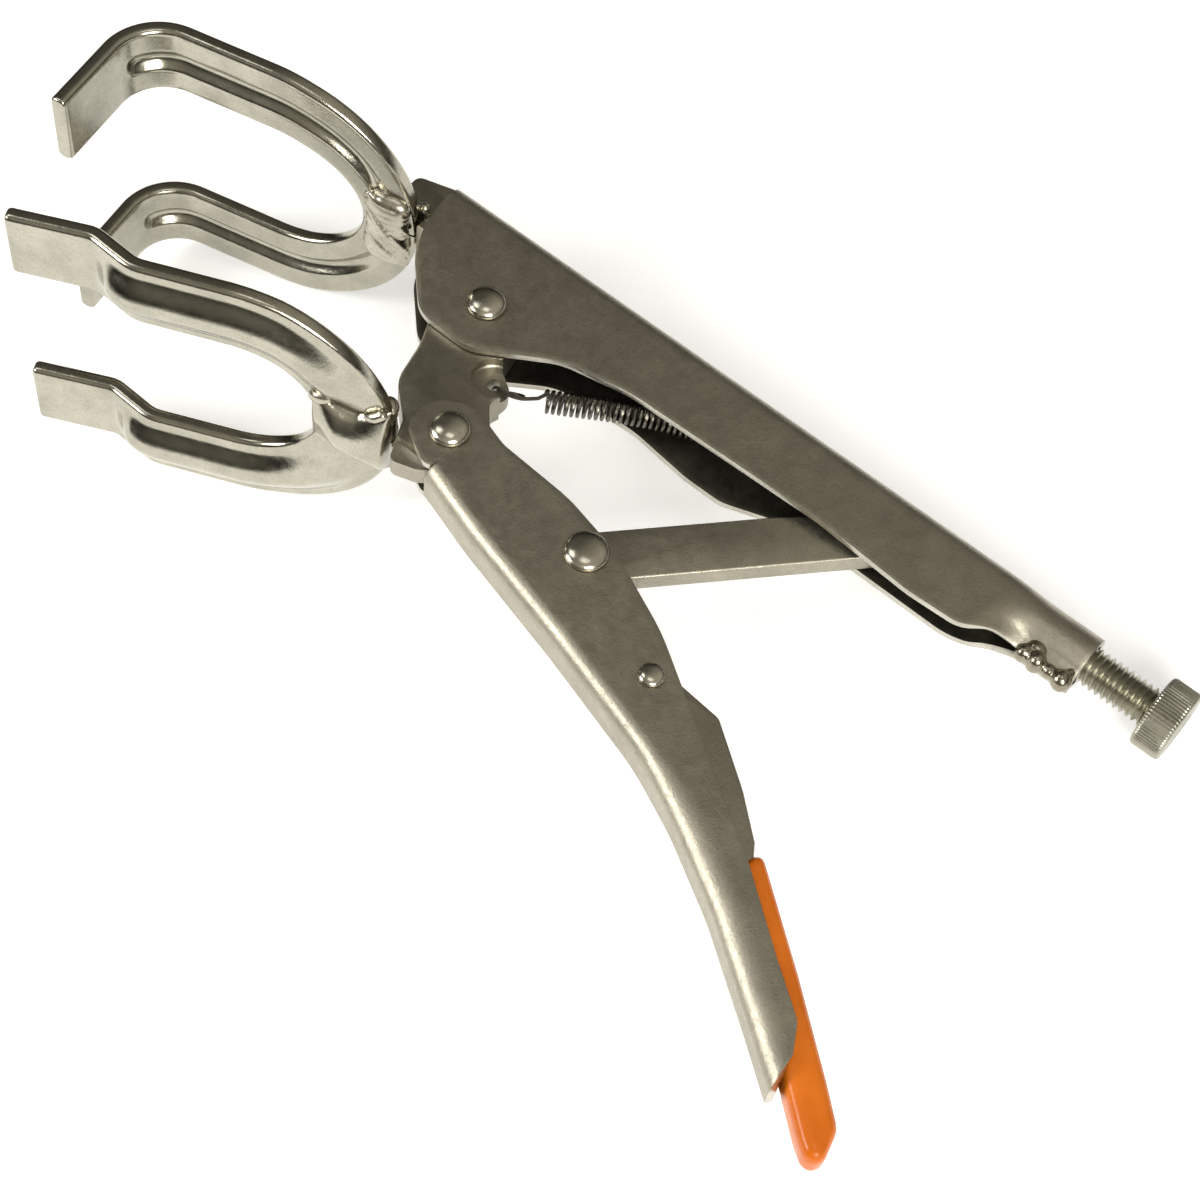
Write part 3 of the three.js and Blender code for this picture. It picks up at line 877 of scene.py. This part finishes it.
STEPS_A_TURN = 18
HOOK_STEP = 0.4
LUG_HOOK = [  # distance from the lug, up, and out along the pivots
    (7.0, 1.3, -1.8), (5.6, 2.0, -2.6), (3.2, 2.2, -3.0), (1.0, 1.2, -2.7),
    (0.0, 0.1, -0.6), (0.1, -0.2, 0.8), (1.2, -1.2, 2.8), (3.6, -2.5, 3.0),
    (7.0, -2.8, 2.9), (10.6, -1.5, 2.5),
]
ANCHOR_HOOK = [(1.6, 1.6, 1.8), (4.2, 0.4, 1.7), (6.0, 0, 0.6), (6.0, 0, -1.4)]  # past the coil, up, out


def tension_spring(material):
    """The close-wound return spring, with a hook through the jaw's lug and one on its anchor."""
    lug, anchor = Vector((*SPRING_LUG, 0)), Vector((*SPRING_ANCHOR, 0))
    way = (anchor - lug).normalized()
    side = Vector((-way.y, way.x, 0))
    front, back = 12.0, (anchor - lug).length - 6.0  # where the coil begins and ends
    coil, wire_radius, pitch, sag = 2.42, 0.45, 1.38, 1.8
    turns = round((back - front) / pitch)
    steps = turns * STEPS_A_TURN

    def spot(along, up, out):
        """The point this far from the lug, above the sagging middle line, and out along the pivots."""
        share = min(max((along - front) / (back - front), 0), 1)
        bow = sag * math.sin(math.pi * share ** 1.3)
        return lug + way * along + side * (up + bow) + Vector((0, 0, out))

    helix = []
    for k in range(steps + 1):
        turn = 2 * math.pi * k / STEPS_A_TURN
        along = front + (back - front) * k / steps
        helix.append(spot(along, coil * math.sin(turn), coil * math.cos(turn)))
    hook = [spot(*point) for point in LUG_HOOK]
    tail = [spot(back + past, up, out) for past, up, out in ANCHOR_HOOK]
    path = smooth_path(hook, HOOK_STEP) + helix + smooth_path(helix[-1:] + tail, HOOK_STEP)[1:]
    obj = baked(wire("tension_spring_fine", path, wire_radius))
    start = TOOL @ spot(front + 12, 0, 0)
    end = TOOL @ spot(0, 0, 0)
    bodies = ("fixed_frame", "moving_jaw", start, end)
    finish_mesh(obj, bodies, material, "tension_spring")


# ---- the flat pieces ----

# outlines: x, y and, where the corner is round, its radius

JAW_PLATE = [
    (-9.3, 4, 6), (-9.3, -8, 6), (-4.8, -18, 20), (-2.2, -28.6, 10), (6.2, -36.2),
    (10.2, -45.5, 2), (16.4, -43.4, 1), (19.8, -40.9), (25, -37, 4), (26, -30, 4),
    (22.3, -24.9, 3), (17.6, -19.6, 2), (19.3, -13.4, 3.8), (12.5, -9.2, 3),
    (9.3, 4, 6), (0, 9.6, 6),
]

UPPER_TANG = [
    (-28.2, 8), (-19, 8, 4), (-10, 13, 6), (14, 13, 1), (14, 19.4, 1), (-28.4, 19.4),
    (-28.4, 22.8), (-38, 19.8, 2), (-37.6, 9.9), (-28.2, 12.7),
]

ANCHOR = [(62.5, 21.6), (63, 11.4, 2.4), (69, 11.4, 2.4), (69.5, 21.6)]

LINK = [(49.8, -36.4, 6), (59.3, -45, 6), (115, 16.5, 4.6), (108.4, 24, 4.6), (84.2, 1.5, 40)]

LEVER = [
    (77, -50.5, 2.5), (81, -46.8, 2.5), (94, -47.2, 8), (105.4, -48.2, 3),
    (119.3, -58.2, 30), (128.5, -66.2, 2), (130.5, -69.2), (142, -78.2), (137, -82.6),
    (113, -66, 20), (97, -58, 10), (80, -54.5, 4),
]

SLEEVE = [
    (131, -67.2, 1.5), (152.6, -83.9, 60), (170.3, -98.4, 12), (177.2, -104.4, 4),
    (180, -116, 2.4), (172, -110.6, 6), (152, -93.9, 40), (128, -75.4, 1.5),
]


def milled(obj, cutters):
    """The piece with each cutter's shape taken away, moved to the row frame."""
    for cutter in cutters:
        cut = obj.modifiers.new("cut", "BOOLEAN")
        cut.operation = "DIFFERENCE"
        cut.solver = "EXACT"
        cut.object = cutter
    made = baked(obj)
    for cutter in cutters:
        bpy.data.objects.remove(cutter)
    return made


def lug_pocket(side):
    """The cutter that thins the jaw's plate round the spring's lug, on one side."""
    corner = 0.4
    profile = [
        (LUG_HALF, NEAR_AXIS), (LUG_HALF, LUG_RADIUS - corner), (LUG_HALF + corner, LUG_RADIUS),
        (CUTTER_TOP, LUG_RADIUS), (CUTTER_TOP, NEAR_AXIS),
    ]
    place = Matrix.Translation((*SPRING_LUG, 0)) @ Matrix.Diagonal((1, 1, side, 1))
    return faced_out(turned("pocket", profile, place))


def tongue_step(side):
    """The cutter that thins the jaw's plate below its tongue's top, on one side."""
    low, high = TONGUE_TOP - 20, TONGUE_TOP
    profile = [
        (low, TONGUE_HALF), (high - 1.2, TONGUE_HALF), (high - 0.4, TONGUE_HALF + 0.3),
        (high, TONGUE_HALF + 1.1), (high, CUTTER_TOP), (low, CUTTER_TOP),
    ]
    rows = [[Vector((x, y, side * z)) for y, z in profile] for x in (0, 30)]
    return faced_out(swept_loop("step", rows))


def jaw_plate(material):
    """The moving jaw's plate: thinner round the lug that holds the spring, and at its lower tongue."""
    holes = [(0, 0, PIVOT_HOLE), (*HANDLE_PIVOT, PIVOT_HOLE), (*SPRING_LUG, LUG_HOLE)]
    obj = plate_mesh("jaw_plate_fine", JAW_PLATE, JAW_HALF, 0.6, holes)
    cutters = [cutter(side) for side in (1, -1) for cutter in (lug_pocket, tongue_step)]
    finish_mesh(milled(obj, cutters), "moving_jaw", material, "jaw_plate", sharp=32)


def lever_sleeve(material):
    """The dipped grip: a soft, rounded skin round the lever's tail."""
    half, rim = 4.4, 2.2
    obj = plate_mesh("lever_sleeve_fine", SLEEVE, half, rim)
    melted(obj, 0.5, 10)
    regrown = obj.modifiers.new("regrown", "DISPLACE")
    regrown.strength = 0.18
    regrown.mid_level = 0
    finish_mesh(baked(obj), "lever", material, "lever_sleeve", sharp=180)


# ---- materials ----


def mapped(tree, value, source, target):
    """A value's range, source, mapped to the range target and held inside it."""
    node = tree.nodes.new("ShaderNodeMapRange")
    tree.links.new(value, node.inputs["Value"])
    for socket, number in zip(("From Min", "From Max", "To Min", "To Max"), (*source, *target)):
        node.inputs[socket].default_value = number
    return node.outputs["Result"]


class Nodes:
    """A small helper round one material's node tree, in object coordinates measured in millimetres."""

    def __init__(self, name):
        self.material = bpy.data.materials.new(name)
        self.material.use_nodes = True
        self.tree = self.material.node_tree
        self.shader = self.tree.nodes["Principled BSDF"]
        coordinates = self.tree.nodes.new("ShaderNodeTexCoord")
        scale = self.tree.nodes.new("ShaderNodeMapping")
        scale.inputs["Scale"].default_value = (1000, 1000, 1000)
        self.link(coordinates.outputs["Object"], scale.inputs["Vector"])
        self.position = scale.outputs["Vector"]

    def link(self, output, socket):
        self.tree.links.new(output, socket)

    def stretched(self, factors):
        """The position with each axis scaled, for marks longer one way than the other."""
        mapping = self.tree.nodes.new("ShaderNodeMapping")
        mapping.inputs["Scale"].default_value = factors
        self.link(self.position, mapping.inputs["Vector"])
        return mapping.outputs["Vector"]

    def noise(self, size, detail, roughness, position=None, distortion=0.0):
        """Noise from 0 to 1 whose blobs are about this many millimetres across."""
        node = self.tree.nodes.new("ShaderNodeTexNoise")
        node.inputs["Scale"].default_value = 1 / size
        node.inputs["Detail"].default_value = detail
        node.inputs["Roughness"].default_value = roughness
        node.inputs["Distortion"].default_value = distortion
        self.link(position or self.position, node.inputs["Vector"])
        return node.outputs["Fac"]

    def spread(self, value, low, high, to_low, to_high):
        """value's range from low to high, mapped to a new range and held inside it."""
        return mapped(self.tree, value, (low, high), (to_low, to_high))

    def mix(self, share, first, second):
        """A colour between two, by a share from 0 to 1."""
        node = self.tree.nodes.new("ShaderNodeMix")
        node.data_type = "RGBA"
        self.link(share, node.inputs["Factor"])
        for socket, colour in ((node.inputs["A"], first), (node.inputs["B"], second)):
            if isinstance(colour, tuple):
                socket.default_value = (*colour, 1)
            else:
                self.link(colour, socket)
        return node.outputs["Result"]

    def bump(self, height, distance, below=None):
        """A bump this many millimetres deep, over another bump."""
        node = self.tree.nodes.new("ShaderNodeBump")
        node.inputs["Distance"].default_value = distance / 1000
        node.inputs["Strength"].default_value = 1
        self.link(height, node.inputs["Height"])
        if below:
            self.link(below, node.inputs["Normal"])
        return node.outputs["Normal"]

    def set(self, **values):
        """The material, with inputs of its shader set to numbers, colours or nodes' outputs."""
        for name, value in values.items():
            socket = self.shader.inputs[name.replace("_", " ")]
            if isinstance(value, (int, float)):
                socket.default_value = value
            elif isinstance(value, tuple):
                socket.default_value = (*value, 1)
            else:
                self.link(value, socket)
        return self.material


def metal(name, dark, light, roughness, pits, scratches, waviness):
    """Plated or bare steel: cloudy colour, pitted and faintly scratched skin, uneven gloss.

    roughness is (low, high); pits, scratches and waviness are bump depths in millimetres.
    """
    n = Nodes(name)
    cloud = n.noise(9, 4, 0.6)
    fine = n.noise(0.55, 4, 0.65)
    scratch = n.noise(0.35, 3, 0.7, n.stretched((0.09, 1, 1)), 0.6)
    wave = n.noise(5, 3, 0.55)
    colour = n.mix(n.spread(cloud, 0.3, 0.7, 0, 1), dark, light)
    stained = n.mix(n.spread(fine, 0.52, 0.76, 0, 0.5), colour, tuple(c * 0.45 for c in dark))
    gloss = n.spread(n.noise(2.2, 5, 0.7), 0.25, 0.75, *roughness)
    normal = n.bump(wave, waviness)
    normal = n.bump(fine, pits, below=normal)
    normal = n.bump(scratch, scratches, below=normal)
    return n.set(Metallic=1.0, Base_Color=stained, Roughness=gloss, Normal=normal)


def vinyl():
    """Glossy dipped vinyl: orange, a little cloudy, with the slight waves of a dried skin."""
    n = Nodes("orange_vinyl")
    cloud = n.noise(14, 3, 0.5)
    colour = n.mix(n.spread(cloud, 0.35, 0.7, 0, 1), (0.62, 0.135, 0.007), (0.76, 0.185, 0.013))
    specks = n.mix(n.spread(n.noise(0.5, 2, 0.5), 0.68, 0.78, 0, 0.5), colour, (0.45, 0.09, 0.02))
    gloss = n.spread(n.noise(3, 3, 0.6), 0.3, 0.7, 0.2, 0.34)
    normal = n.bump(n.noise(7, 2, 0.4), 0.25)
    normal = n.bump(n.noise(0.4, 3, 0.5), 0.012, below=normal)
    return n.set(
        Base_Color=specks,
        Roughness=gloss,
        Normal=normal,
        Specular_IOR_Level=0.25,
        Coat_Weight=0.08,
        Coat_Roughness=0.12,
    )


def floor_white():
    """White paper, greyer further out, that glows near the tool: painted light that lifts the shadows
    there.
    """
    near, far = 330, 560
    n = Nodes("floor_white")
    distance = n.tree.nodes.new("ShaderNodeVectorMath")
    distance.operation = "LENGTH"
    n.link(n.position, distance.inputs[0])
    away = n.spread(distance.outputs["Value"], near, far, 0, 1)
    paper = n.mix(n.noise(60, 3, 0.5), (0.93, 0.93, 0.925), (0.95, 0.95, 0.95))
    colour = n.mix(away, paper, (0.45, 0.45, 0.44))
    # painted light: the floor's glow, strongest near the tool, lifts the tool's shadows off the paper
    painted_glow = n.spread(distance.outputs["Value"], near, far, 0.45, 0.05)
    return n.set(Base_Color=colour, Roughness=0.9, Emission_Color=(1.0, 1.0, 1.0), Emission_Strength=painted_glow)


# ---- the whole tool ----

METALS = {  # dark and light colour, roughness from and to, depths of the pits, scratches and waves
    "satin_nickel": ((0.36, 0.335, 0.27), (0.46, 0.43, 0.345), (0.32, 0.48), 0.07, 0.01, 0.03),
    # inner faces of the folded sheets: nearly black, painted shade inside the channels
    "inner_painted_shade_nickel": ((0.085, 0.078, 0.06), (0.15, 0.14, 0.11), (0.4, 0.56), 0.05, 0.0, 0.03),
    # cut edges of the folded sheets: lighter than the plating, a painted highlight along the rims
    "cut_edge_painted_highlight_nickel": ((0.48, 0.46, 0.39), (0.66, 0.64, 0.56), (0.25, 0.4), 0.04, 0.0, 0.03),
    "bright_nickel": ((0.37, 0.355, 0.29), (0.50, 0.48, 0.40), (0.10, 0.24), 0.02, 0.01, 0.05),
    "weld_nickel": ((0.40, 0.375, 0.30), (0.58, 0.55, 0.46), (0.18, 0.32), 0.02, 0.0, 0.06),
    "tail_weld_nickel": ((0.24, 0.215, 0.165), (0.42, 0.39, 0.31), (0.14, 0.3), 0.03, 0.0, 0.08),
    "jaw_steel": ((0.32, 0.295, 0.235), (0.40, 0.37, 0.30), (0.30, 0.45), 0.06, 0.01, 0.03),
    "rivet_steel": ((0.50, 0.47, 0.39), (0.60, 0.57, 0.48), (0.14, 0.26), 0.006, 0.006, 0.02),
    "zinc": ((0.35, 0.34, 0.275), (0.50, 0.485, 0.40), (0.24, 0.36), 0.012, 0.0, 0.02),
    "spring_steel": ((0.12, 0.11, 0.09), (0.20, 0.185, 0.155), (0.24, 0.4), 0.01, 0.0, 0.02),
}


def handles_and_forks(metals):
    satin, bright = metals["satin_nickel"], metals["bright_nickel"]
    # the inner faces get painted shade, the cut edges a painted highlight
    folded = (metals["inner_painted_shade_nickel"], metals["cut_edge_painted_highlight_nickel"])
    fixed_handle(satin, folded)
    lower_handle(satin, folded)
    for side, word in ((1, "near"), (-1, "far")):
        prong("upper_prong_" + word, UPPER_FORK, side, "fixed_frame", bright)
        prong("lower_prong_" + word, LOWER_FORK, side, "moving_jaw", bright)


def welds(metals):
    seam = metals["weld_nickel"]
    upper_root_weld(seam)
    upper_bow_weld(seam)
    lower_root_weld(seam)
    lower_neck_plate(metals["bright_nickel"])
    lower_neck_tacks(seam)
    tail_weld(metals["tail_weld_nickel"])


def plates(metals):
    """The milled jaw plate, and the pieces that are no more than plates with holes."""
    jaw_plate(metals["jaw_steel"])
    pieces = [
        ("upper_tang", UPPER_TANG, JAW_HALF, 0.5, [], "fixed_frame", "jaw_steel"),
        ("spring_anchor", ANCHOR, 1.2, 0.3, [(*SPRING_ANCHOR, 1.2)], "fixed_frame", "jaw_steel"),
        ("toggle_link", LINK, LINK_HALF, 0.6, [(*LINK_PIVOT, 3.2)], "link", "satin_nickel"),
        ("release_lever", LEVER, 3.2, 0.7, [(*LEVER_PIVOT, 2.2)], "lever", "satin_nickel"),
    ]
    for name, points, half, rim, holes, body, slot in pieces:
        obj = plate_mesh(name + "_fine", points, half, rim, holes)
        finish_mesh(baked(obj), body, metals[slot], name, sharp=32)


def rivets(material):
    rivet("main_pivot_rivet", (0, 0), 3.5, 4.7, 2.4, "fixed_frame", material)
    rivet("handle_pivot_rivet", HANDLE_PIVOT, 3.5, 4.8, 2.4, "moving_jaw", material)
    rivet("link_rivet", LINK_PIVOT, 3.0, 5.1, 2.1, "moving_handle", material)
    rivet("lever_rivet", LEVER_PIVOT, 2.0, 2.9, 1.4, "moving_handle", material)


def build_tool():
    metals = {name: metal(name, *values) for name, values in METALS.items()}
    handles_and_forks(metals)
    welds(metals)
    plates(metals)
    lever_sleeve(vinyl())
    rivets(metals["rivet_steel"])
    screw_thread(metals["zinc"])
    knurled_head(metals["zinc"])
    screw_nose(metals["zinc"])
    tension_spring(metals["spring_steel"])


# ---- the studio ----

CAMERA_FROM = (205.9, -276.6, 444.7)
CAMERA_AT = (67.4, -40.9, 0)
CAMERA_UP = (-0.5728, 0.6369, 0.516)


def camera():
    """The photo's camera: placed and aimed in the tool's own millimetres."""
    data = bpy.data.cameras.new("camera")
    data.sensor_width = 36
    data.lens = 72
    data.clip_start, data.clip_end = 0.01, 20
    obj = linked("camera", data)
    turn = TOOL.to_3x3().normalized()
    back = (Vector(CAMERA_FROM) - Vector(CAMERA_AT)).normalized()
    right = Vector(CAMERA_UP).cross(back).normalized()
    axes = Matrix((turn @ right, turn @ back.cross(right), turn @ back)).transposed().to_4x4()
    axes.translation = TOOL @ Vector(CAMERA_FROM)
    obj.matrix_world = axes
    bpy.context.scene.camera = obj


def softbox(name, at, size, power):
    """A large soft light, aimed at the tool: its place and size in metres, its power in watts."""
    data = bpy.data.lights.new(name, "AREA")
    data.shape = "RECTANGLE"
    data.size, data.size_y = size
    data.energy = power
    data.color = (1.0, 0.985, 0.96)
    obj = linked(name, data)
    obj.location = at
    obj.rotation_mode = "QUATERNION"
    obj.rotation_quaternion = (Vector((0, 0, 0.03)) - Vector(at)).to_track_quat("-Z", "Y")


def paper_floor():
    """A wide sheet just under the tool, in metres."""
    reach, gap = 12.0, 0.0004
    corners = [(-reach, -reach, 0), (reach, -reach, 0), (reach, reach, 0), (-reach, reach, 0)]
    floor = new_object("floor", corners, [(0, 1, 2, 3)])
    floor.location.z = -gap
    floor.data.materials.append(floor_white())


def studio():
    paper_floor()
    bpy.context.scene.view_settings.view_transform = "Standard"
    studio_world()
    softbox("left_light", (-0.65, -0.65, 0.65), (0.45, 0.45), 7)
    softbox("right_light", (0.75, -0.45, 0.6), (0.45, 0.5), 7)
    softbox("left_window", (-0.48, -0.06, 0.95), (0.3, 0.34), 0.8)
    softbox("right_window", (0.16, 0.02, 1.05), (0.3, 0.34), 0.45)


def studio_world():
    """Warm room light: dim on the jaws' side, brighter on the screw's, and low at the horizon."""
    world = bpy.data.worlds.new("studio")
    world.use_nodes = True
    tree = world.node_tree
    background = tree.nodes["Background"]
    background.inputs["Color"].default_value = (1.0, 0.93, 0.78, 1)
    direction = tree.nodes.new("ShaderNodeTexCoord")
    parts = tree.nodes.new("ShaderNodeSeparateXYZ")
    tree.links.new(direction.outputs["Generated"], parts.inputs["Vector"])
    along = mapped(tree, parts.outputs["X"], (-0.4, 0.3), (0.10, 0.46))
    above = mapped(tree, parts.outputs["Z"], (0.1, 0.6), (0.12, 1.0))
    strength = tree.nodes.new("ShaderNodeMath")
    strength.operation = "MULTIPLY"
    tree.links.new(along, strength.inputs[0])
    tree.links.new(above, strength.inputs[1])
    tree.links.new(strength.outputs["Value"], background.inputs["Strength"])
    bpy.context.scene.world = world


build_tool()
camera()
studio()
